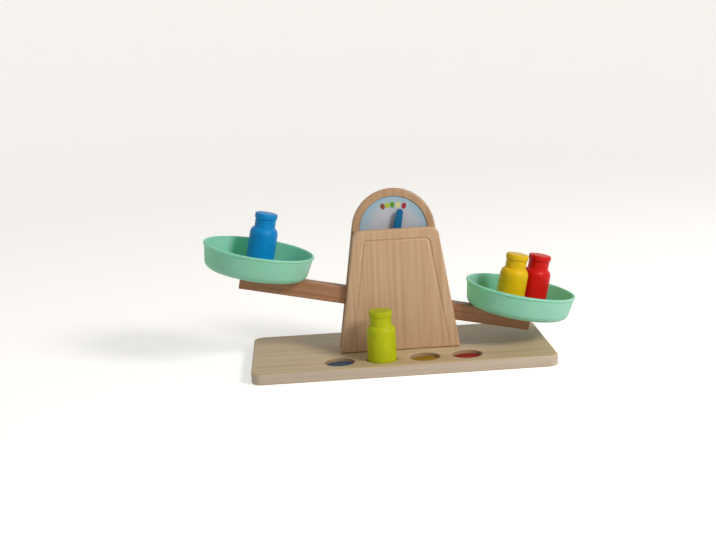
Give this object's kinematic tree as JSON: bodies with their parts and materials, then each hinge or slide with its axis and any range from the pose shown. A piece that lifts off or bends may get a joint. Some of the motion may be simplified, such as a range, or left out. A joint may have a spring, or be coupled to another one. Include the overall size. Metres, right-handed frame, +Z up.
{
  "type": "toy balance scale",
  "caption": "Wooden toy beam scale: a tower on a base carries a tipping beam with round pans, a dial with pointer, and lift-off weights that stand in recesses.",
  "frame": {"origin": "centre of the base board's flat underside", "axes": "+Z up, +X to the right along the base's long side as the player sees it, +Y to the back; the dial faces -Y"},
  "size_m": [0.4217, 0.163, 0.1953],
  "materials": {
    "pale_beech": "sanded, clear oiled, satin",
    "beech": "sanded, clear oiled, satin",
    "dark_beech": "stained, satin",
    "mint_plastic": "moulded, satin",
    "zinc_steel": "zinc plated",
    "bush_brass": "turned",
    "dial_print": "printed, matt",
    "pointer_blue": "moulded, satin",
    "blue_lacquer": "coloured lacquer, semi-gloss",
    "green_lacquer": "coloured lacquer, semi-gloss",
    "yellow_lacquer": "coloured lacquer, semi-gloss",
    "red_lacquer": "coloured lacquer, semi-gloss"
  },
  "bodies": {
    "base": {"base_board": "pale_beech", "recess_disc_blue": "blue_lacquer", "recess_disc_green": "green_lacquer", "recess_disc_yellow": "yellow_lacquer", "recess_disc_red": "red_lacquer", "front_board": "beech", "back_board": "beech", "dial_plate": "dial_print", "foot_block": "beech", "shoulder_block_left": "beech", "shoulder_block_right": "beech", "stop_peg_left": "pale_beech", "stop_peg_right": "pale_beech", "foot_dowel_left": "pale_beech", "foot_dowel_right": "pale_beech", "tower_screw_left": "zinc_steel", "tower_screw_right": "zinc_steel", "axle": "zinc_steel", "spacer_ring_front": "pale_beech", "spacer_ring_back": "pale_beech"},
    "beam": {"beam": "dark_beech", "hanger": "beech", "axle_bush": "bush_brass", "hanger_screw_left": "zinc_steel", "hanger_screw_right": "zinc_steel", "pointer": "pointer_blue", "pointer_screw": "zinc_steel", "pan_left": "mint_plastic", "pan_right": "mint_plastic", "pan_screw_left": "zinc_steel", "pan_screw_right": "zinc_steel"},
    "weight_blue": {"weight_blue": "blue_lacquer"},
    "weight_green": {"weight_green": "green_lacquer"},
    "weight_yellow": {"weight_yellow": "yellow_lacquer"},
    "weight_red": {"weight_red": "red_lacquer"}
  },
  "joints": [
    {"name": "beam_tilt", "type": "hinge", "parent": "base", "child": "beam", "pos_m": [0, 0, 0.132], "axis": [0, -1, 0], "range_deg": [0, 24]},
    {"name": "weight_green_lift", "type": "slide", "parent": "base", "child": "weight_green", "axis": [0, 0, 1], "range_m": [0, 0.08]},
    {"name": "weight_blue_lift", "type": "slide", "parent": "beam", "child": "weight_blue", "axis": [0.2079, 0, 0.9781], "range_m": [0, 0.08]},
    {"name": "weight_yellow_lift", "type": "slide", "parent": "beam", "child": "weight_yellow", "axis": [0.2079, 0, 0.9781], "range_m": [0, 0.08]},
    {"name": "weight_red_lift", "type": "slide", "parent": "beam", "child": "weight_red", "axis": [0.2079, 0, 0.9781], "range_m": [0, 0.08]}
  ]
}
